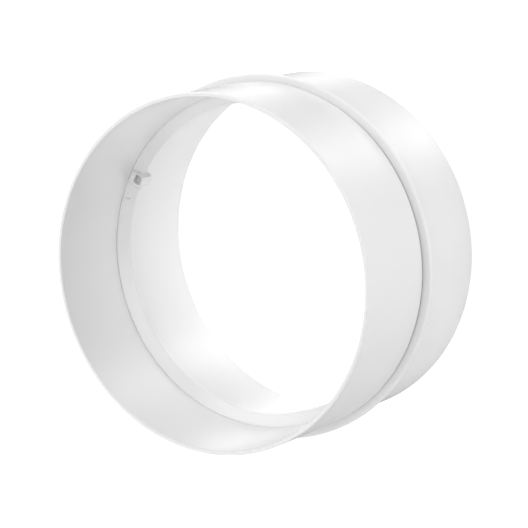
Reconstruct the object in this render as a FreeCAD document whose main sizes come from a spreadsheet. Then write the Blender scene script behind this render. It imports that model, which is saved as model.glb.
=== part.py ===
import FreeCAD, Part
import math
import os
import Sketcher
from FreeCAD import Placement, Rotation, Vector

# Duct connector: a moulded plastic tube that joins two round ducts.
# It stands on its rear mouth, with its axis on Z and its front mouth up.
# Y points to the top of the fitted duct, and X lies across it.
NODE = "duct_connector"

# Driving sizes, in millimetres and degrees
SIZES = {
    "spigot_radius": 62.0,  # outside of both spigots, a sliding fit in a 125 mm duct
    "body_length": 75.0,  # from mouth to mouth
    "front_spigot": 38.5,  # from the front mouth to the collar
    "rim_wall": 1.4,  # wall at both mouths
    "rim_round": 0.4,  # rounding of the edges of both mouths
    "bore_draft": 3.0,  # taper of the bore from each mouth to the seat ring
    "collar_width": 1.6,  # stop collar, along the axis
    "collar_height": 2.6,  # stop collar, above the spigots
    "collar_round": 0.5,  # rounding of the collar's outer edges
    "ring_depth": 32.4,  # from the front mouth to the foot of the seat ring
    "ring_height": 3.9,  # seat ring, inwards from its front foot
    "ring_rise": 2.4,  # lean of each sloping face of the ring, along the axis
    "ring_crest": 1.6,  # flat crest of the ring, along the axis
    "collar_crease_width": 1.2,  # relief groove at the collar's foot
    "collar_crease_depth": 1.1,
    "ring_crease_width": 0.9,  # relief groove at the ring's foot
    "ring_crease_depth": 0.7,
    "seat_angle": 58.4,  # pivot seats, each side of the top
    "seat_width": 5.2,  # pivot seat, across its radius
    "seat_height": 5.6,  # pivot seat, inwards from the ring's foot
    "seat_length": 5.0,  # pivot seat, along the axis
    "seat_wall": 1.1,  # wall left around the socket in each seat
    "seat_round": 1.2,  # rounding of the seat's upright edges
    "socket_setback": 1.9,  # from the ring's foot inwards to the socket
    "socket_depth": 1.8,  # socket, from its mouth to its floor
    "pip_radius": 0.9,  # keeper pip below each seat
    "pip_spacing": 8.0,  # angle from the seat to its pip
    "pip_setback": 1.5,  # from the ring's foot inwards to the pip
}

# Sizes that follow from the driving ones
DERIVED = {
    "mouth_radius": "=spigot_radius - rim_wall",
    "rim_fillet": "=min(rim_round; 0.45 * rim_wall)",
    "collar_front": "=body_length - front_spigot",
    "collar_back": "=collar_front - collar_width",
    "collar_radius": "=spigot_radius + collar_height",
    "collar_fillet": "=min(collar_round; 0.45 * collar_width; 0.8 * collar_height)",
    "ring_front": "=body_length - ring_depth",
    "crest_front": "=ring_front - ring_rise",
    "crest_back": "=crest_front - ring_crest",
    "ring_back": "=crest_back - ring_rise",
    "front_foot": "=mouth_radius - ring_depth * tan(bore_draft)",
    "rear_foot": "=mouth_radius - ring_back * tan(bore_draft)",
    "front_taper": "=mouth_radius - front_foot",
    "rear_taper": "=mouth_radius - rear_foot",
    "crest_radius": "=front_foot - ring_height",
    "collar_crease_floor": "=spigot_radius - collar_crease_depth",
    "collar_crease_mouth": "=spigot_radius + collar_crease_depth",
    "collar_crease_end": "=collar_front + 2 * collar_crease_width",
    "ring_crease_floor": "=front_foot + ring_crease_depth",
    "ring_crease_mouth": "=front_foot - ring_crease_depth",
    "ring_crease_end": "=ring_front + 2 * ring_crease_width",
    "seat_turn": "=90 + seat_angle",
    "seat_inside": "=front_foot - seat_height",
    "seat_root": "=spigot_radius - 0.5 * rim_wall",
    "socket_inside": "=seat_inside + seat_wall",
    "socket_outside": "=front_foot - socket_setback",
    "socket_width": "=seat_width - 2 * seat_wall",
    "socket_round": "=max(0.2; seat_round - 0.5 * seat_wall)",
    "pip_turn": "=seat_turn + pip_spacing",
    "pip_place": "=front_foot - pip_setback",
    "pip_level": "=ring_front - ring_rise * pip_setback / ring_height",
}


def fill_sheet(sheet):
    """Write every size to a cell of its own, with its name as the cell's alias."""
    for row, (alias, content) in enumerate({**SIZES, **DERIVED}.items(), start=1):
        sheet.set(f"A{row}", alias)
        sheet.set(f"B{row}", str(content))
        sheet.setAlias(f"B{row}", alias)


def size(alias):
    """Value of a named cell as a plain number."""
    return float(sheet.get(alias))


def origin_plane(role):
    """Plane of the body's own origin that has this role."""
    return next(plane for plane in body.Origin.OriginFeatures if plane.Role == role)


def new_sketch(name, role):
    """Empty sketch on one of the body's origin planes."""
    sketch = body.newObject("Sketcher::SketchObject", name)
    sketch.AttachmentSupport = [(origin_plane(role), "")]
    sketch.MapMode = "FlatFace"
    return sketch


def bind(sketch, name, alias, kind, *places):
    """Add a named dimension to a sketch and tie it to a cell of the sheet."""
    index = sketch.addConstraint(Sketcher.Constraint(kind, *places, size(alias)))
    sketch.renameConstraint(index, name)
    sketch.setExpression(f"Constraints.{name}", f"dims.{alias}")


def closed_outline(sketch, corners):
    """Closed chain of straight lines, and the number of its first line."""
    count = len(corners)
    first = sketch.GeometryCount
    for here in range(count):
        sketch.addGeometry(Part.LineSegment(corners[here], corners[(here + 1) % count]))
    for here in range(count):
        following = first + (here + 1) % count
        sketch.addConstraint(Sketcher.Constraint("Coincident", first + here, 2, following, 1))
    return first


def crease(sketch, name, floor, mouth, level, end):
    """Triangle with a flat wall at one level, from a groove's floor out past its mouth, and a sloping side."""
    corners = [
        Vector(size(floor), size(level)),
        Vector(size(mouth), size(level)),
        Vector(size(mouth), size(end)),
    ]
    first = closed_outline(sketch, corners)
    sketch.addConstraint(Sketcher.Constraint("Horizontal", first))
    sketch.addConstraint(Sketcher.Constraint("Vertical", first + 1))
    bind(sketch, f"{name}_floor", floor, "DistanceX", -1, 1, first, 1)
    bind(sketch, f"{name}_mouth", mouth, "DistanceX", -1, 1, first + 1, 1)
    bind(sketch, f"{name}_level", level, "DistanceY", -1, 1, first, 1)
    bind(sketch, f"{name}_end", end, "DistanceY", -1, 1, first + 2, 1)


def rounded_box(sketch, inside, outside, width, corner):
    """Rectangle with rounded corners, centred on the sketch's X axis between two radii."""
    quarter = 0.5 * math.pi
    near, far = size(inside), size(outside)
    half, bend = 0.5 * size(width), size(corner)
    lines = [
        (Vector(near + bend, -half), Vector(far - bend, -half)),
        (Vector(far, bend - half), Vector(far, half - bend)),
        (Vector(far - bend, half), Vector(near + bend, half)),
        (Vector(near, half - bend), Vector(near, bend - half)),
    ]
    centres = [
        Vector(far - bend, bend - half),
        Vector(far - bend, half - bend),
        Vector(near + bend, half - bend),
        Vector(near + bend, bend - half),
    ]
    up = Vector(0, 0, 1)
    for turn, (line, centre) in enumerate(zip(lines, centres)):
        sketch.addGeometry(Part.LineSegment(*line))
        start = (turn - 1) * quarter
        sketch.addGeometry(Part.ArcOfCircle(Part.Circle(centre, up, bend), start, start + quarter))
    for here in range(8):
        sketch.addConstraint(Sketcher.Constraint("Tangent", here, 2, (here + 1) % 8, 1))
    for line, kind in ((0, "Horizontal"), (2, "Vertical"), (4, "Horizontal"), (6, "Vertical")):
        sketch.addConstraint(Sketcher.Constraint(kind, line))
    for arc in (3, 5):
        sketch.addConstraint(Sketcher.Constraint("Equal", 1, arc))
    sketch.addConstraint(Sketcher.Constraint("Symmetric", 0, 1, 4, 2, -1))
    bind(sketch, "inside", inside, "DistanceX", -1, 1, 6, 1)
    bind(sketch, "outside", outside, "DistanceX", -1, 1, 2, 1)
    bind(sketch, "width", width, "DistanceY", 0, 1, 4, 2)
    bind(sketch, "corner", corner, "Radius", 1)


def seat_sketch(name):
    """Sketch across the duct at the ring's foot, with its X axis through the pivot seat."""
    sketch = new_sketch(name, "XY_Plane")
    turn = Rotation(Vector(0, 0, 1), size("seat_turn"))
    sketch.AttachmentOffset = Placement(Vector(0, 0, size("ring_front")), turn)
    sketch.setExpression("AttachmentOffset.Base.z", "dims.ring_front")
    sketch.setExpression("AttachmentOffset.Rotation.Angle", "dims.seat_turn")
    return sketch


def round_edges(name, base, places, alias):
    """Fillet of the circular edges that lie at the given radii and heights."""
    doc.recompute()
    names = []
    for number, edge in enumerate(base.Shape.Edges, start=1):
        if not isinstance(edge.Curve, Part.Circle):
            continue
        for radius, height in places:
            same_radius = abs(edge.Curve.Radius - size(radius)) < 1e-4
            same_height = abs(edge.Curve.Center.z - height) < 1e-4
            if same_radius and same_height:
                names.append(f"Edge{number}")
    if len(names) != len(places):
        raise RuntimeError(f"{name}: {len(names)} edges found for {len(places)} places")
    fillet = body.newObject("PartDesign::Fillet", name)
    fillet.Base = (base, names)
    fillet.setExpression("Radius", f"dims.{alias}")
    return fillet


def mirror_across(name, originals):
    """The same features on the other side of the duct, and the body's new tip."""
    pair = body.newObject("PartDesign::Mirrored", name)
    pair.Originals = originals
    pair.MirrorPlane = (origin_plane("YZ_Plane"), [""])
    body.Tip = pair
    return pair


def check_change(feature, sign):
    """Stop if a feature that should add or take away material doesn't."""
    doc.recompute()
    change = feature.Shape.Volume - feature.BaseFeature.Shape.Volume
    if sign * change <= 0:
        raise RuntimeError(f"{feature.Name} changes the volume by {change:.3f}")


doc = FreeCAD.newDocument(NODE)
sheet = doc.addObject("Spreadsheet::Sheet", "dims")
fill_sheet(sheet)
doc.recompute()

body = doc.addObject("PartDesign::Body", NODE)
body.Label = NODE

# Section of the tube, its collar and its seat ring, anticlockwise from the rear mouth
section = new_sketch("section", "XZ_Plane")
closed_outline(section, [
    Vector(size("mouth_radius"), 0),
    Vector(size("spigot_radius"), 0),
    Vector(size("spigot_radius"), size("collar_back")),
    Vector(size("collar_radius"), size("collar_back")),
    Vector(size("collar_radius"), size("collar_front")),
    Vector(size("spigot_radius"), size("collar_front")),
    Vector(size("spigot_radius"), size("body_length")),
    Vector(size("mouth_radius"), size("body_length")),
    Vector(size("front_foot"), size("ring_front")),
    Vector(size("crest_radius"), size("crest_front")),
    Vector(size("crest_radius"), size("crest_back")),
    Vector(size("rear_foot"), size("ring_back")),
])
for level in (0, 2, 4, 6):
    section.addConstraint(Sketcher.Constraint("Horizontal", level))
for upright in (1, 3, 5, 9):
    section.addConstraint(Sketcher.Constraint("Vertical", upright))
section.addConstraint(Sketcher.Constraint("PointOnObject", 0, 1, -1))
section.addConstraint(Sketcher.Constraint("Vertical", 1, 1, 6, 1))
bind(section, "spigot_radius", "spigot_radius", "DistanceX", -1, 1, 1, 1)
bind(section, "body_length", "body_length", "DistanceY", -1, 1, 6, 1)
bind(section, "front_spigot", "front_spigot", "DistanceY", 5, 1, 6, 1)
bind(section, "collar_width", "collar_width", "DistanceY", 3, 1, 4, 1)
bind(section, "collar_height", "collar_height", "DistanceX", 2, 1, 3, 1)
bind(section, "rear_wall", "rim_wall", "DistanceX", 0, 1, 1, 1)
bind(section, "front_wall", "rim_wall", "DistanceX", 7, 1, 6, 1)
bind(section, "front_taper", "front_taper", "DistanceX", 8, 1, 7, 1)
bind(section, "rear_taper", "rear_taper", "DistanceX", 11, 1, 0, 1)
bind(section, "ring_depth", "ring_depth", "DistanceY", 8, 1, 7, 1)
bind(section, "ring_height", "ring_height", "DistanceX", 9, 1, 8, 1)
bind(section, "front_rise", "ring_rise", "DistanceY", 9, 1, 8, 1)
bind(section, "ring_crest", "ring_crest", "DistanceY", 10, 1, 9, 1)
bind(section, "rear_rise", "ring_rise", "DistanceY", 11, 1, 10, 1)

tube = body.newObject("PartDesign::Revolution", "tube")
tube.Profile = section
tube.ReferenceAxis = (section, ["V_Axis"])
tube.Angle = 360
doc.recompute()

# Narrow relief grooves in front of the collar and in front of the ring
crease_section = new_sketch("crease_section", "XZ_Plane")
crease(crease_section, "collar_crease", "collar_crease_floor", "collar_crease_mouth",
       "collar_front", "collar_crease_end")
crease(crease_section, "ring_crease", "ring_crease_floor", "ring_crease_mouth",
       "ring_front", "ring_crease_end")
creases = body.newObject("PartDesign::Groove", "creases")
creases.Profile = crease_section
creases.ReferenceAxis = (crease_section, ["V_Axis"])
creases.Angle = 360
check_change(creases, -1)

# Rounded edges of the mouths and the collar
top = size("body_length")
mouth_edges = [("mouth_radius", 0), ("spigot_radius", 0), ("mouth_radius", top), ("spigot_radius", top)]
rims = round_edges("rims", creases, mouth_edges, "rim_fillet")
collar_heights = (size("collar_back"), size("collar_front"))
collar_edges = [("collar_radius", height) for height in collar_heights]
collar_bead = round_edges("collar_bead", rims, collar_edges, "collar_fillet")
check_change(collar_bead, -1)

# Pivot seat on the ring, with a blind socket open to the front
seat_outline = seat_sketch("seat_outline")
rounded_box(seat_outline, "seat_inside", "seat_root", "seat_width", "seat_round")
pivot_seat = body.newObject("PartDesign::Pad", "pivot_seat")
pivot_seat.Profile = seat_outline
pivot_seat.Reversed = True
pivot_seat.setExpression("Length", "dims.seat_length")
check_change(pivot_seat, 1)

socket_outline = seat_sketch("socket_outline")
rounded_box(socket_outline, "socket_inside", "socket_outside", "socket_width", "socket_round")
pivot_socket = body.newObject("PartDesign::Pocket", "pivot_socket")
pivot_socket.Profile = socket_outline
pivot_socket.setExpression("Length", "dims.socket_depth")
check_change(pivot_socket, -1)
seat_pair = mirror_across("seat_pair", [pivot_seat, pivot_socket])
check_change(seat_pair, 1)

# Round keeper pip on the ring's front face, below the seat
keeper_pip = body.newObject("PartDesign::AdditiveSphere", "keeper_pip")
keeper_pip.AttachmentSupport = [(origin_plane("XY_Plane"), "")]
keeper_pip.MapMode = "FlatFace"
keeper_pip.setExpression("Radius", "dims.pip_radius")
keeper_pip.setExpression("AttachmentOffset.Base.x", "dims.pip_place * cos(dims.pip_turn)")
keeper_pip.setExpression("AttachmentOffset.Base.y", "dims.pip_place * sin(dims.pip_turn)")
keeper_pip.setExpression("AttachmentOffset.Base.z", "dims.pip_level")
check_change(keeper_pip, 1)
pip_pair = mirror_across("pip_pair", [keeper_pip])
check_change(pip_pair, 1)

for item in doc.Objects:
    if "Invalid" in item.State or "Error" in item.State:
        raise RuntimeError(f"{item.Name} failed: {item.State}")
shape = body.Shape
if shape.isNull() or not shape.isValid() or len(shape.Solids) != 1:
    raise RuntimeError(f"{body.Label} isn't one valid solid")

os.makedirs("parts", exist_ok=True)
shape.exportStep(f"parts/{body.Label}.step")
box = shape.optimalBoundingBox()
print(f"{body.Label}: {box.XLength:.2f} x {box.YLength:.2f} x {box.ZLength:.2f} mm, {shape.Volume:.0f} mm3")
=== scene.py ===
import math

import bpy
import numpy as np
from mathutils import Matrix


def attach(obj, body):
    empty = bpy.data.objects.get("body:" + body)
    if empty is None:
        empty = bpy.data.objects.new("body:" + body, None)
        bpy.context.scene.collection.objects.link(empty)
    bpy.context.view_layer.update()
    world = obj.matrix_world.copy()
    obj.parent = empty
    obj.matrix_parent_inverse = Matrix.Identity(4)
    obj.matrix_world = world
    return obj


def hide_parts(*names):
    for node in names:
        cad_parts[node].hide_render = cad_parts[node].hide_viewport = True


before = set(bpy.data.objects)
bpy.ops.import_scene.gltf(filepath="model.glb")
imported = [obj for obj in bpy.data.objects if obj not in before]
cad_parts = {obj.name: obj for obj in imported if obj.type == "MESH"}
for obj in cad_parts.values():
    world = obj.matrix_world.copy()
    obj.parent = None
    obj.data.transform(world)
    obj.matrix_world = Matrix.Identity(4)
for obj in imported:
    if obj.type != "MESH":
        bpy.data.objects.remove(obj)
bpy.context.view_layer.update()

MM = 0.001
NODE = "duct_connector"
SLOT = "white_plastic"

# Sizes of the moulding, in millimetres and degrees
SPIGOT_RADIUS = 62.0
BODY_LENGTH = 75.0
FRONT_SPIGOT = 38.5
RIM_WALL = 1.4
RIM_ROUND = 0.4
BORE_DRAFT = 3.0
COLLAR_WIDTH = 1.6
COLLAR_HEIGHT = 2.6
COLLAR_ROUND = 0.5
RING_DEPTH = 32.4
RING_HEIGHT = 3.9
RING_RISE = 2.4
RING_CREST = 1.6
CREST_ROUND = 0.3
COLLAR_CREASE_WIDTH = 1.2
COLLAR_CREASE_DEPTH = 1.1
RING_CREASE_WIDTH = 0.9
RING_CREASE_DEPTH = 0.7
SHARP_ROUND = 0.12
FACE_SUPPORT = 0.25
TOP_TURN = 90
SEAT_ANGLE = 58.4
SEAT_WIDTH = 5.2
SEAT_HEIGHT = 5.6
SEAT_LENGTH = 5.0
SEAT_WALL = 1.1
SEAT_ROUND = 1.2
SEAT_EDGE = 0.25
SOCKET_SETBACK = 1.9
SOCKET_DEPTH = 1.8
PIP_RADIUS = 0.9
PIP_SPACING = 8.0
PIP_SETBACK = 1.5

# Sizes that follow from them
DRAFT_SLOPE = math.tan(math.radians(BORE_DRAFT))
MOUTH_RADIUS = SPIGOT_RADIUS - RIM_WALL
COLLAR_FRONT = BODY_LENGTH - FRONT_SPIGOT
COLLAR_BACK = COLLAR_FRONT - COLLAR_WIDTH
COLLAR_RADIUS = SPIGOT_RADIUS + COLLAR_HEIGHT
RING_FRONT = BODY_LENGTH - RING_DEPTH
CREST_FRONT = RING_FRONT - RING_RISE
CREST_BACK = CREST_FRONT - RING_CREST
RING_BACK = CREST_BACK - RING_RISE
FRONT_FOOT = MOUTH_RADIUS - RING_DEPTH * DRAFT_SLOPE
REAR_FOOT = MOUTH_RADIUS - RING_BACK * DRAFT_SLOPE
CREST_RADIUS = FRONT_FOOT - RING_HEIGHT
SOCKET_ROUND = SEAT_ROUND - SEAT_WALL / 2

# Fineness of the mesh, and the angle from which an edge is shaded as sharp
TURN_STEPS = 480
ARC_STEPS = 6
SUPPORT_SHARE = 0.3
EDGE_STEPS = 4
SEAT_TURN_STEPS = 64
PIP_STEPS = 24
FLOOR_STEPS = 96
SHARP_ANGLE = 35.0

# The photograph's camera: turn and tilt of the tube's axis, focal length in pixels of a square image,
# the centre of the front mouth in the camera's view, in millimetres right, down and away,
# and the nearest distance that the camera sees, in metres
IMAGE_SIZE = 528
SENSOR_WIDTH = 36.0
VIEW_TURN = -31.795
VIEW_TILT = 9.083
FOCAL_PIXELS = 2464.85
FRONT_CENTRE = (-19.165, 3.979, 829.727)
NEAREST_SEEN = 0.01

# Plastic: its two tones, the colour of painted shade, and how strong the painted shade is at each place,
# from 0 to 1. On the ring the painted shade fades out as the sine of the turn nears a level.
PLASTIC_SHADE = (0.855, 0.855, 0.857)
PLASTIC_LIGHT = (0.868, 0.868, 0.868)
PAINTED_SHADE_COLOUR = (0.58, 0.575, 0.57)
RING_CREASE_PAINTED_SHADE = 0.27
RING_SHADE_LEVEL = 0.45
RING_SHADE_FADE = 0.3
SEAT_SIDE_PAINTED_SHADE = 0.6
SOCKET_PAINTED_SHADE = 0.6
PIP_PAINTED_SHADE = 0.6

# The edge mark, and the marks at which painted shade and handling begin and are full
EDGE_MARK = "edge_mark"
PAINTED_SHADE_MARKS = (-0.1, -0.8)
HANDLED_MARKS = (0.1, 1.0)

# Roughness of the gloss, the noise behind each change in the plastic as scale and detail, and the depths
# of waves and grain in millimetres
ROUGHNESS = (0.22, 0.26)
HANDLED_ROUGHNESS = 0.08
NOISE_RANGE = (0.3, 0.7)
TONE_NOISE = (30.0, 2.0)
GLOSS_NOISE = (60.0, 3.0)
WAVE_NOISE = (28.0, 0.0)
WAVE_DEPTH = 0.04
GRAIN_NOISE = (2500.0, 1.0)
GRAIN_DEPTH = 0.0004

# Floor: its colour, its glow for the camera, its gap below the rear rim in millimetres,
# and its radius in metres
FLOOR_COLOUR = (0.94, 0.94, 0.94)
FLOOR_GLOW = 0.55
FLOOR_GAP = 0.2
FLOOR_RADIUS = 3.0

# Studio: even light, and what the gloss shows overhead and low down, with brighter and dimmer sides
# as azimuth, tightness and strength
AMBIENT = 0.14
OVERHEAD = 0.60
LOW_BASE = 0.51
LOW_SWING = 0.24
LOW_SWING_AZIMUTH = -62.0
LOW_SIDES = ((66.0, 20.0, 1.55), (143.0, 25.0, 1.2), (196.0, 14.0, -0.42))
LOW_TOP = -0.2

# Softboxes and strips as name, azimuth, elevation and watts, with their sizes and distances in metres
SOFTBOX_WIDTH = 0.80
SOFTBOX_DISTANCE = 1.0
SOFTBOXES = (
    ("right_softbox", 36.0, 60.0, 4.8),
    ("back_softbox", 120.0, 30.0, 3.8),
    ("left_softbox", 216.0, 60.0, 2.1),
    ("low_softbox", 240.0, 30.0, 3.6),
)
STRIP_LENGTH = 0.40
STRIP_HEIGHT = 0.07
STRIP_DISTANCE = 0.6
STRIPS = (("right_strip", 0.0, 0.0, 0.98), ("back_strip", 120.0, 0.0, 0.76))

# Lamps that lie on the floor, in millimetres: a round pad in the rear mouth, and pads beside the rear spigot
# as name, azimuth and level
PAD_RISE = 0.2
PAD_RADIUS = 60.5
PAD_LEVEL = 0.41
SIDE_PAD_WIDTH = 22.0
SIDE_PAD_LENGTH = 60.0
SIDE_PAD_REACH = 74.0
SIDE_PADS = (("right_pad", 47.0, 0.22), ("low_pad", -38.0, 0.11))


def rounded_corners(corners, rounds, supports, steps):
    """Closed outline with its corners rounded, and a mark for each of its points.

    At each corner an arc of the given radius touches both sides. Its ends lie round * tan(turn / 2) from
    the corner, where turn is the angle between the sides' directions. Its points run from the first
    touching point to the second as a blend of circle directions about the arc's centre. On each straight
    side a support point at the given distance from either arc, and one midway, keep the shading flat.
    The mark is 1 on the arc of an outer corner, -1 on that of an inner corner, and 0 on the sides.
    """
    corners = np.asarray(corners, float)
    rounds = np.asarray(rounds, float)[:, None]
    to_next = np.roll(corners, -1, 0) - corners
    length = np.linalg.norm(to_next, axis=1, keepdims=True)
    ahead = to_next / length
    behind = np.roll(ahead, 1, 0)
    cosine = np.sum(ahead * behind, axis=1, keepdims=True)
    turn = np.arccos(np.clip(cosine, -1, 1))
    reach = rounds * np.tan(turn / 2)
    side = np.sign(behind[:, :1] * ahead[:, 1:] - behind[:, 1:] * ahead[:, :1])
    inward = side * np.stack([-behind[:, 1], behind[:, 0]], 1)
    start = corners - behind * reach
    centre = start + inward * rounds
    bend = np.linspace(0, 1, steps + 1)[None, :, None] * turn[:, None]
    outward = np.sin(bend) * behind[:, None] - np.cos(bend) * inward[:, None]
    arc = centre[:, None] + rounds[:, None] * outward
    leave = corners + ahead * reach
    arrive = np.roll(start, -1, 0)
    free = np.linalg.norm(arrive - leave, axis=1, keepdims=True)
    supports = np.asarray(supports, float)[:, None]
    near = leave + ahead * np.minimum(supports, SUPPORT_SHARE * free)
    far = arrive - ahead * np.minimum(np.roll(supports, -1, 0), SUPPORT_SHARE * free)
    middle = (near + far) / 2
    rows = np.concatenate([arc, near[:, None], middle[:, None], far[:, None]], 1)
    edge = np.zeros(rows.shape[:2])
    edge[:, :steps + 1] = side
    return rows.reshape(-1, 2), edge.reshape(-1)


def grid_faces(rows, columns):
    """Quads of a grid that closes on itself both ways: row i meets row i + 1, column j meets column j + 1."""
    row, column = np.meshgrid(np.arange(rows), np.arange(columns), indexing="ij")
    row_after, column_after = (row + 1) % rows, (column + 1) % columns
    corners = [row * columns + column, row_after * columns + column,
               row_after * columns + column_after, row * columns + column_after]
    return np.stack(corners, -1).reshape(-1, 4)


def stack_faces(rows, columns):
    """Faces of a stack of rings that closes on a point at either end, with the two points after the rings."""
    sides = grid_faces(rows, columns).reshape(rows, columns, 4)[:-1].reshape(-1, 4)[:, ::-1]
    around = np.arange(columns)
    after = (around + 1) % columns
    last = (rows - 1) * columns
    bottom = np.stack([np.full(columns, rows * columns), after, around, around], 1)
    top = np.stack([np.full(columns, rows * columns + 1), last + around, last + after, last + after], 1)
    return np.concatenate([sides, bottom, top])


def side_turn(side, angle):
    """Turn of a place that lies at an angle to one side of the top, from the X axis, in radians."""
    return math.radians(TOP_TURN + side * angle)


def tube_shell():
    """The tube with its collar, creases and seat ring.

    The section is a closed outline of radius against height. Each of its points is carried round the axis:
    x = radius * cos(turn), y = radius * sin(turn), z = height. The mark is -1 in the collar's groove, which
    is a painted shade, and in the corners of the bore it is the ring's painted shade, which fades out towards
    the top.
    """
    mouth_share = RING_CREASE_DEPTH / (2 * RING_CREASE_DEPTH + 2 * RING_CREASE_WIDTH * DRAFT_SLOPE)
    ring_crease_top = RING_FRONT + 2 * RING_CREASE_WIDTH * mouth_share
    ring_crease_edge = FRONT_FOOT + RING_CREASE_DEPTH * (1 - 2 * mouth_share)
    section = [
        (MOUTH_RADIUS, 0, RIM_ROUND, FACE_SUPPORT),
        (SPIGOT_RADIUS, 0, RIM_ROUND, FACE_SUPPORT),
        (SPIGOT_RADIUS, COLLAR_BACK, SHARP_ROUND, FACE_SUPPORT),
        (COLLAR_RADIUS, COLLAR_BACK, COLLAR_ROUND, FACE_SUPPORT),
        (COLLAR_RADIUS, COLLAR_FRONT, COLLAR_ROUND, FACE_SUPPORT),
        (SPIGOT_RADIUS - COLLAR_CREASE_DEPTH, COLLAR_FRONT, SHARP_ROUND, COLLAR_CREASE_DEPTH),
        (SPIGOT_RADIUS, COLLAR_FRONT + COLLAR_CREASE_WIDTH, SHARP_ROUND, FACE_SUPPORT),
        (SPIGOT_RADIUS, BODY_LENGTH, RIM_ROUND, FACE_SUPPORT),
        (MOUTH_RADIUS, BODY_LENGTH, RIM_ROUND, FACE_SUPPORT),
        (ring_crease_edge, ring_crease_top, SHARP_ROUND, FACE_SUPPORT),
        (FRONT_FOOT + RING_CREASE_DEPTH, RING_FRONT, SHARP_ROUND, RING_CREASE_DEPTH),
        (FRONT_FOOT, RING_FRONT, SHARP_ROUND, FACE_SUPPORT),
        (CREST_RADIUS, CREST_FRONT, CREST_ROUND, FACE_SUPPORT),
        (CREST_RADIUS, CREST_BACK, CREST_ROUND, FACE_SUPPORT),
        (REAR_FOOT, RING_BACK, CREST_ROUND, FACE_SUPPORT),
    ]
    section = np.array(section, float)
    outline, edge = rounded_corners(section[:, :2], section[:, 2], section[:, 3], ARC_STEPS)
    radius, height = outline[:, :1], outline[:, 1:]
    below_spigot = (radius > MOUTH_RADIUS) & (radius < SPIGOT_RADIUS - SHARP_ROUND)
    in_collar_groove = below_spigot & (abs(height - COLLAR_FRONT) < COLLAR_CREASE_WIDTH)
    turn = np.linspace(0, 2 * math.pi, TURN_STEPS, endpoint=False)
    # Painted shade in the collar's groove
    edge = np.where(in_collar_groove, -1.0, edge[:, None])
    # Painted shade in the corners of the bore, full low down and fading out towards the top
    shade_low_share = np.clip((RING_SHADE_LEVEL - np.sin(turn)) / RING_SHADE_FADE, 0, 1)
    edge = np.where((edge < 0) & (radius < MOUTH_RADIUS), -RING_CREASE_PAINTED_SHADE * shade_low_share, edge)
    points = np.stack(np.broadcast_arrays(radius * np.cos(turn), radius * np.sin(turn), height), -1)
    faces = grid_faces(len(outline), TURN_STEPS)[:, ::-1]
    return points.reshape(-1, 3), faces, edge.reshape(-1)


def rounded_box(near, far, half, bend, steps):
    """Rounded rectangles, one per row, with a quarter circle of radius bend at each corner.

    Across runs from near to far and sideways from -half to half.
    """
    quarter = np.arange(4)
    angle = (quarter[:, None] + np.linspace(0, 1, steps // 4)[None]) * math.pi / 2
    across_sign = np.array([1, -1, -1, 1])[:, None]
    side_sign = np.array([1, 1, -1, -1])[:, None]
    near, far, half, bend = (np.asarray(v, float)[:, None, None] for v in (near, far, half, bend))
    middle, reach = (near + far) / 2, (far - near) / 2
    across = middle + across_sign * (reach - bend) + bend * np.cos(angle)
    sideways = side_sign * (half - bend) + bend * np.sin(angle)
    return across.reshape(len(middle), -1), sideways.reshape(len(middle), -1)


def quarter_round(radius):
    """Inset and drop of a rounded edge over a quarter turn.

    inset = radius * (1 - cosine of the turn), drop = radius * (1 - sine of the turn).
    """
    angle = np.linspace(0, math.pi / 2, EDGE_STEPS + 1)
    return radius * (1 - np.cos(angle)), radius * (1 - np.sin(angle))


def stack_shell(near, far, half, bend, height, side):
    """A closed stack of rounded rectangles along the axis, turned to the seat's angle on one side of the top.

    Each row of the stack is one rectangle at its height, and the two ends close on a point. A point that lies
    across and sideways goes to x = across * cos(angle) - sideways * sin(angle),
    y = across * sin(angle) + sideways * cos(angle).
    """
    across, sideways = rounded_box(near, far, half, bend, SEAT_TURN_STEPS)
    angle = side_turn(side, SEAT_ANGLE)
    place = np.stack(np.broadcast_arrays(
        across * math.cos(angle) - sideways * math.sin(angle),
        across * math.sin(angle) + sideways * math.cos(angle),
        height[:, None]), -1)
    ends = place[[0, -1]].mean(1)
    return np.concatenate([place.reshape(-1, 3), ends]), stack_faces(*across.shape)


def seat_block(side):
    """The solid block of a pivot seat. It starts inside the tube's wall, and its edges are rounded.

    Its upper side has a painted shade, and the rest of it counts as outer edge.
    """
    inset, drop = quarter_round(SEAT_EDGE)
    inset = np.concatenate([inset[::-1], inset])
    height = np.concatenate([RING_FRONT - SEAT_LENGTH + drop[::-1], RING_FRONT - drop])
    near = FRONT_FOOT - SEAT_HEIGHT + inset
    far = SPIGOT_RADIUS - RIM_WALL / 2 - inset
    points, faces = stack_shell(near, far, SEAT_WIDTH / 2 - inset, SEAT_ROUND - inset, height, side)
    angle = side_turn(side, SEAT_ANGLE)
    upward = side * (points[:, 0] * math.sin(angle) - points[:, 1] * math.cos(angle))
    on_upper_side = upward > SEAT_WIDTH / 2 - SEAT_ROUND / 2
    # Painted shade on the seat's upper side
    return points, faces, np.where(on_upper_side, -SEAT_SIDE_PAINTED_SHADE, 1.0)


def socket_cutter(side):
    """What is cut out of a seat: a blind socket with a rounded floor edge and a flared mouth."""
    inset, drop = quarter_round(SEAT_EDGE)
    height = np.concatenate([
        RING_FRONT - SOCKET_DEPTH + drop[::-1], RING_FRONT - drop, [RING_FRONT + SEAT_WALL]])
    inset = np.concatenate([inset[::-1], -inset, [-SEAT_EDGE]])
    near = FRONT_FOOT - SEAT_HEIGHT + SEAT_WALL + inset
    far = FRONT_FOOT - SOCKET_SETBACK - inset
    half = SEAT_WIDTH / 2 - SEAT_WALL - inset
    points, faces = stack_shell(near, far, half, SOCKET_ROUND - inset, height, side)
    # Painted shade over the whole socket
    return points, faces, np.full(len(points), -SOCKET_PAINTED_SHADE)


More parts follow.
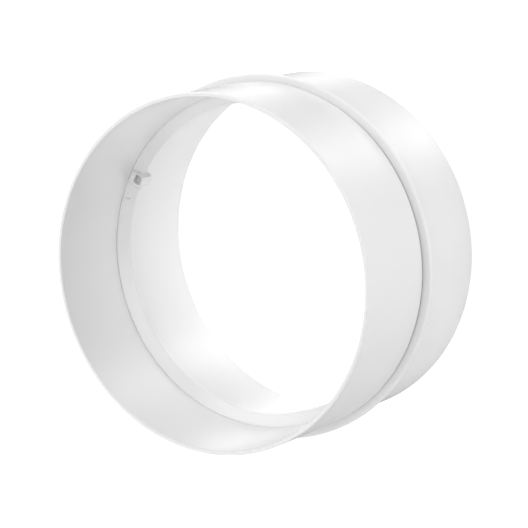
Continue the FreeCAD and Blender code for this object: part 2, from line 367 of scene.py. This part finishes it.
def pip_shell(side):
    """A round keeper pip: a ball, as rings of latitude between two poles, sunk halfway into the ring's face.

    Its lower half has a little painted shade.
    """
    angle = side_turn(side, SEAT_ANGLE + PIP_SPACING)
    radius = FRONT_FOOT - PIP_SETBACK
    level = RING_FRONT - RING_RISE * PIP_SETBACK / RING_HEIGHT
    centre = np.array([radius * math.cos(angle), radius * math.sin(angle), level])
    latitude = np.linspace(-math.pi / 2, math.pi / 2, PIP_STEPS // 2 + 1)[1:-1, None]
    longitude = np.linspace(0, 2 * math.pi, PIP_STEPS, endpoint=False)
    rings = np.stack(np.broadcast_arrays(
        np.cos(latitude) * np.cos(longitude), np.cos(latitude) * np.sin(longitude), np.sin(latitude)), -1)
    poles = np.array([[0, 0, -1], [0, 0, 1]], float)
    ball = np.concatenate([rings.reshape(-1, 3), poles])
    # Painted shade on the pip's lower half
    edge = np.where(ball[:, 1] < 0, -PIP_PAINTED_SHADE, 1.0)
    return centre + PIP_RADIUS * ball, stack_faces(*rings.shape[:2]), edge


def join_shells(shells):
    """Several closed shells as one set of points, faces and edge marks."""
    counts = np.cumsum([0] + [len(points) for points, _, _ in shells])
    points = np.concatenate([points for points, _, _ in shells])
    faces = np.concatenate([faces + first for (_, faces, _), first in zip(shells, counts)])
    edge = np.concatenate([edge for _, _, edge in shells])
    return points, faces, edge


def mesh_piece(name, points, faces, edge):
    """A smooth mesh object from whole arrays. A face whose last two corners are the same is a triangle."""
    mesh = bpy.data.meshes.new(name)
    triangle = faces[:, 2] == faces[:, 3]
    sizes = np.where(triangle, 3, 4)
    keep = np.ones(faces.shape, bool)
    keep[triangle, 3] = False
    mesh.vertices.add(len(points))
    mesh.vertices.foreach_set("co", (points * MM).astype(np.float32).ravel())
    mesh.loops.add(int(sizes.sum()))
    mesh.loops.foreach_set("vertex_index", faces[keep].astype(np.int32))
    mesh.polygons.add(len(faces))
    mesh.polygons.foreach_set("loop_start", np.concatenate([[0], np.cumsum(sizes)[:-1]]).astype(np.int32))
    mesh.polygons.foreach_set("use_smooth", np.ones(len(faces), bool))
    mark = mesh.attributes.new(EDGE_MARK, "FLOAT", "CORNER")
    mark.data.foreach_set("value", edge[faces[keep]].astype(np.float32))
    mesh.update(calc_edges=True)
    mesh.validate()
    piece = bpy.data.objects.new(name, mesh)
    bpy.context.scene.collection.objects.link(piece)
    return piece


def combine(piece, tool, operation):
    """Joins a tool mesh to the piece or cuts it out, and takes the tool away."""
    step = piece.modifiers.new(operation.lower(), "BOOLEAN")
    step.operation = operation
    step.solver = "EXACT"
    step.object = tool
    graph = bpy.context.evaluated_depsgraph_get()
    result = bpy.data.meshes.new_from_object(piece.evaluated_get(graph))
    piece.modifiers.clear()
    piece.data = result
    bpy.data.objects.remove(tool)


def new_material(name):
    """An empty node material, with its nodes and links."""
    material = bpy.data.materials.new(name)
    material.use_nodes = True
    material.node_tree.nodes.clear()
    return material, material.node_tree.nodes, material.node_tree.links


def noise(nodes, links, source, scale, detail):
    """A noise texture on the given coordinates."""
    texture = nodes.new("ShaderNodeTexNoise")
    texture.inputs["Scale"].default_value = scale
    texture.inputs["Detail"].default_value = detail
    links.new(source, texture.inputs["Vector"])
    return texture.outputs["Fac"]


def spread(nodes, links, source, source_range, result_range):
    """The source's range carried linearly to the result's, and held at its ends."""
    scaled = nodes.new("ShaderNodeMapRange")
    labels = ("From Min", "From Max", "To Min", "To Max")
    for label, value in zip(labels, (*source_range, *result_range)):
        scaled.inputs[label].default_value = value
    links.new(source, scaled.inputs["Value"])
    return scaled.outputs["Result"]


def calculate(nodes, links, operation, first, second):
    """A math node. Each of its two inputs is a number or the output of another node."""
    step = nodes.new("ShaderNodeMath")
    step.operation = operation
    for socket, value in zip(step.inputs, (first, second)):
        if isinstance(value, float):
            socket.default_value = value
        else:
            links.new(value, socket)
    return step.outputs["Value"]


def white_plastic():
    """White moulded plastic with a soft sheen: faint changes of tone and gloss, a fine grain and wavy walls.

    The edge mark is 1 on rounded outer edges, which are a little duller from handling, and below 0 in
    corners, grooves and sockets and on one side of the seats and pips, which get a painted shade.
    """
    material, nodes, links = new_material(SLOT)
    shader = nodes.new("ShaderNodeBsdfPrincipled")
    output = nodes.new("ShaderNodeOutputMaterial")
    links.new(shader.outputs["BSDF"], output.inputs["Surface"])
    place = nodes.new("ShaderNodeTexCoord").outputs["Object"]
    mark = nodes.new("ShaderNodeAttribute")
    mark.attribute_name = EDGE_MARK
    mark = mark.outputs["Fac"]

    tone = nodes.new("ShaderNodeMix")
    tone.data_type = "RGBA"
    tone.inputs["A"].default_value = (*PLASTIC_SHADE, 1)
    tone.inputs["B"].default_value = (*PLASTIC_LIGHT, 1)
    links.new(noise(nodes, links, place, *TONE_NOISE), tone.inputs["Factor"])
    # Painted shade: the colour darkens towards the shade colour where the edge mark is below 0
    painted_shade = nodes.new("ShaderNodeMix")
    painted_shade.data_type = "RGBA"
    painted_shade.inputs["B"].default_value = (*PAINTED_SHADE_COLOUR, 1)
    links.new(spread(nodes, links, mark, PAINTED_SHADE_MARKS, (0.0, 1.0)), painted_shade.inputs["Factor"])
    links.new(tone.outputs["Result"], painted_shade.inputs["A"])
    links.new(painted_shade.outputs["Result"], shader.inputs["Base Color"])

    gloss = spread(nodes, links, noise(nodes, links, place, *GLOSS_NOISE), NOISE_RANGE, ROUGHNESS)
    handled = spread(nodes, links, mark, HANDLED_MARKS, (0.0, HANDLED_ROUGHNESS))
    links.new(calculate(nodes, links, "ADD", gloss, handled), shader.inputs["Roughness"])

    waves = nodes.new("ShaderNodeBump")
    waves.inputs["Distance"].default_value = WAVE_DEPTH * MM
    links.new(noise(nodes, links, place, *WAVE_NOISE), waves.inputs["Height"])
    grain = nodes.new("ShaderNodeBump")
    grain.inputs["Distance"].default_value = GRAIN_DEPTH * MM
    links.new(noise(nodes, links, place, *GRAIN_NOISE), grain.inputs["Height"])
    links.new(waves.outputs["Normal"], grain.inputs["Normal"])
    links.new(grain.outputs["Normal"], shader.inputs["Normal"])
    return material


def seen_straight(nodes, links, path):
    """1 where the camera looks, straight or through something clear, and 0 for other light."""
    straight, through = path.outputs["Is Camera Ray"], path.outputs["Is Transmission Ray"]
    return calculate(nodes, links, "MAXIMUM", straight, through)


def white_floor():
    """Matt white floor that takes the shadow: a bright backdrop for the camera, and clear for the gloss."""
    material, nodes, links = new_material("floor_white")
    path = nodes.new("ShaderNodeLightPath")
    matt = nodes.new("ShaderNodeBsdfDiffuse")
    matt.inputs["Color"].default_value = (*FLOOR_COLOUR, 1)
    glow = nodes.new("ShaderNodeEmission")
    backdrop = calculate(nodes, links, "MULTIPLY", seen_straight(nodes, links, path), FLOOR_GLOW)
    links.new(backdrop, glow.inputs["Strength"])
    lit = nodes.new("ShaderNodeAddShader")
    links.new(matt.outputs["BSDF"], lit.inputs[0])
    links.new(glow.outputs["Emission"], lit.inputs[1])
    clear = nodes.new("ShaderNodeBsdfTransparent")
    choose = nodes.new("ShaderNodeMixShader")
    links.new(path.outputs["Is Glossy Ray"], choose.inputs["Fac"])
    links.new(lit.outputs["Shader"], choose.inputs[1])
    links.new(clear.outputs["BSDF"], choose.inputs[2])
    output = nodes.new("ShaderNodeOutputMaterial")
    links.new(choose.outputs["Shader"], output.inputs["Surface"])
    return material


def add_floor():
    """A round floor under the moulding: one disc, a hair below its rear rim."""
    turn = np.linspace(0, 2 * math.pi, FLOOR_STEPS, endpoint=False)
    height = np.full(FLOOR_STEPS, -FLOOR_GAP * MM)
    ring = np.stack([FLOOR_RADIUS * np.cos(turn), FLOOR_RADIUS * np.sin(turn), height], 1)
    mesh = bpy.data.meshes.new("floor")
    mesh.from_pydata(ring.tolist(), [], [list(range(FLOOR_STEPS))])
    mesh.materials.append(white_floor())
    floor = bpy.data.objects.new("floor", mesh)
    bpy.context.scene.collection.objects.link(floor)


def toward_side(nodes, links, heading, azimuth):
    """Cosine of the angle between a level heading and an azimuth."""
    turn = math.radians(azimuth)
    facing = nodes.new("ShaderNodeVectorMath")
    facing.operation = "DOT_PRODUCT"
    facing.inputs[1].default_value = (math.cos(turn), math.sin(turn), 0)
    links.new(heading, facing.inputs[0])
    return facing.outputs["Value"]


def add_world():
    """White studio: even light, and plain white for the camera.

    The gloss shows dim surroundings overhead. Low down they are base + swing * cosine(angle from the swing's
    azimuth), plus strength * cosine(angle from azimuth) ** tightness for each brighter or dimmer side.
    """
    world = bpy.data.worlds.new("studio")
    world.use_nodes = True
    world.cycles.sampling_method = "NONE"
    nodes, links = world.node_tree.nodes, world.node_tree.links
    nodes.clear()
    path = nodes.new("ShaderNodeLightPath")
    direction = nodes.new("ShaderNodeTexCoord").outputs["Generated"]
    flat = nodes.new("ShaderNodeVectorMath")
    flat.operation = "MULTIPLY"
    flat.inputs[1].default_value = (1, 1, 0)
    links.new(direction, flat.inputs[0])
    heading = nodes.new("ShaderNodeVectorMath")
    heading.operation = "NORMALIZE"
    links.new(flat.outputs["Vector"], heading.inputs[0])
    heading = heading.outputs["Vector"]

    facing = toward_side(nodes, links, heading, LOW_SWING_AZIMUTH)
    swing = calculate(nodes, links, "MULTIPLY", facing, LOW_SWING)
    low = calculate(nodes, links, "ADD", swing, LOW_BASE)
    for azimuth, tightness, strength in LOW_SIDES:
        ahead = calculate(nodes, links, "MAXIMUM", toward_side(nodes, links, heading, azimuth), 0.0)
        narrow = calculate(nodes, links, "POWER", ahead, tightness)
        low = calculate(nodes, links, "ADD", low, calculate(nodes, links, "MULTIPLY", narrow, strength))
    height = nodes.new("ShaderNodeSeparateXYZ")
    links.new(direction, height.inputs["Vector"])
    lowness = spread(nodes, links, height.outputs["Z"], (0.0, LOW_TOP), (0.0, 1.0))
    mirrored = nodes.new("ShaderNodeMix")
    mirrored.inputs["A"].default_value = OVERHEAD
    links.new(lowness, mirrored.inputs["Factor"])
    links.new(low, mirrored.inputs["B"])

    reflected = nodes.new("ShaderNodeMix")
    reflected.inputs["A"].default_value = AMBIENT
    links.new(path.outputs["Is Glossy Ray"], reflected.inputs["Factor"])
    links.new(mirrored.outputs["Result"], reflected.inputs["B"])
    seen = nodes.new("ShaderNodeMix")
    seen.inputs["B"].default_value = 1.0
    links.new(seen_straight(nodes, links, path), seen.inputs["Factor"])
    links.new(reflected.outputs["Result"], seen.inputs["A"])
    around = nodes.new("ShaderNodeBackground")
    around.inputs["Color"].default_value = (1, 1, 1, 1)
    links.new(seen.outputs["Result"], around.inputs["Strength"])
    output = nodes.new("ShaderNodeOutputWorld")
    links.new(around.outputs["Background"], output.inputs["Surface"])
    bpy.context.scene.world = world


def view_axes():
    """The photograph's right, up and backward directions in the part's own frame, as rows.

    The tube's axis in the camera's view is (sin turn * cos tilt, sin tilt, -cos turn * cos tilt), with
    right, down and away as its parts. The part's Y axis is the picture's upright with its share along the
    axis taken out.
    """
    turn, tilt = math.radians(VIEW_TURN), math.radians(VIEW_TILT)
    axis = np.array([math.sin(turn) * math.cos(tilt), math.sin(tilt), -math.cos(turn) * math.cos(tilt)])
    upright = np.array([0.0, -1.0, 0.0])
    upright = upright - upright.dot(axis) * axis
    upright = upright / np.linalg.norm(upright)
    columns = np.stack([np.cross(upright, axis), upright, axis], 1)
    return np.stack([columns[0], -columns[1], -columns[2]])


def put_in_scene(name, data, axes, place):
    """Puts a camera or lamp into the scene, with its three axes as columns and its place in metres."""
    matrix = np.eye(4)
    matrix[:3, :3] = axes
    matrix[:3, 3] = place
    item = bpy.data.objects.new(name, data)
    item.matrix_world = Matrix(matrix.tolist())
    bpy.context.scene.collection.objects.link(item)
    return item


def add_camera():
    """The camera of the photograph, placed so that the front mouth's centre lies where it does there."""
    axes = view_axes()
    right, down, away = np.array(FRONT_CENTRE) * MM
    place = np.array([0, 0, BODY_LENGTH * MM]) - axes.T @ np.array([right, -down, -away])
    lens = bpy.data.cameras.new("camera")
    lens.sensor_width = SENSOR_WIDTH
    lens.lens = FOCAL_PIXELS / IMAGE_SIZE * SENSOR_WIDTH
    lens.clip_start = NEAREST_SEEN
    bpy.context.scene.camera = put_in_scene("camera", lens, axes.T, place)


def new_lamp(name, shape, width, length, power):
    """A soft lamp with a flat face, in metres and watts."""
    lamp = bpy.data.lights.new(name, "AREA")
    lamp.shape = shape
    lamp.size = width
    lamp.size_y = length
    lamp.energy = power
    return lamp


def add_softbox(name, azimuth, elevation, power, width, height, distance):
    """A soft lamp that faces the moulding from a direction given by its angles round and above the floor."""
    turn, rise = math.radians(azimuth), math.radians(elevation)
    toward = np.array([math.cos(rise) * math.cos(turn), math.cos(rise) * math.sin(turn), math.sin(rise)])
    across = np.array([-math.sin(turn), math.cos(turn), 0.0])
    axes = np.stack([across, np.cross(toward, across), toward], 1)
    place = np.array([0, 0, BODY_LENGTH * MM / 2]) + distance * toward
    put_in_scene(name, new_lamp(name, "RECTANGLE", width, height, power), axes, place)


def add_pad(name, shape, width, length, reach, azimuth, level):
    """A lamp that lies on the floor and faces up, at a reach from the tube's axis along an azimuth.

    Its power is level * pi * area, so that its face has the given level. The camera doesn't see it.
    """
    turn = math.radians(azimuth)
    outward = np.array([math.cos(turn), math.sin(turn), 0.0])
    down = np.array([0.0, 0.0, -1.0])
    axes = np.stack([outward, np.cross(down, outward), down], 1)
    place = (reach * outward - PAD_RISE * down) * MM
    area = width * length * (math.pi / 4 if shape == "DISK" else 1)
    lamp = new_lamp(name, shape, width * MM, length * MM, level * math.pi * area * MM ** 2)
    put_in_scene(name, lamp, axes, place).visible_camera = False


moulding = mesh_piece("duct_moulding", *tube_shell())
fittings = [make(side) for make in (seat_block, pip_shell) for side in (1, -1)]
combine(moulding, mesh_piece("seats_and_pips", *join_shells(fittings)), "UNION")
combine(moulding, mesh_piece("sockets", *join_shells([socket_cutter(1), socket_cutter(-1)])), "DIFFERENCE")
moulding.data.set_sharp_from_angle(angle=math.radians(SHARP_ANGLE))
moulding.data.materials.clear()
moulding.data.materials.append(white_plastic())
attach(moulding, "root")
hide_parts(NODE)

add_floor()
add_world()
for softbox in SOFTBOXES:
    add_softbox(*softbox, SOFTBOX_WIDTH, SOFTBOX_WIDTH, SOFTBOX_DISTANCE)
for strip in STRIPS:
    add_softbox(*strip, STRIP_LENGTH, STRIP_HEIGHT, STRIP_DISTANCE)
add_pad("mouth_pad", "DISK", 2 * PAD_RADIUS, 2 * PAD_RADIUS, 0.0, 0.0, PAD_LEVEL)
for name, azimuth, level in SIDE_PADS:
    add_pad(name, "RECTANGLE", SIDE_PAD_WIDTH, SIDE_PAD_LENGTH, SIDE_PAD_REACH, azimuth, level)
add_camera()
bpy.context.scene.view_settings.view_transform = "Standard"
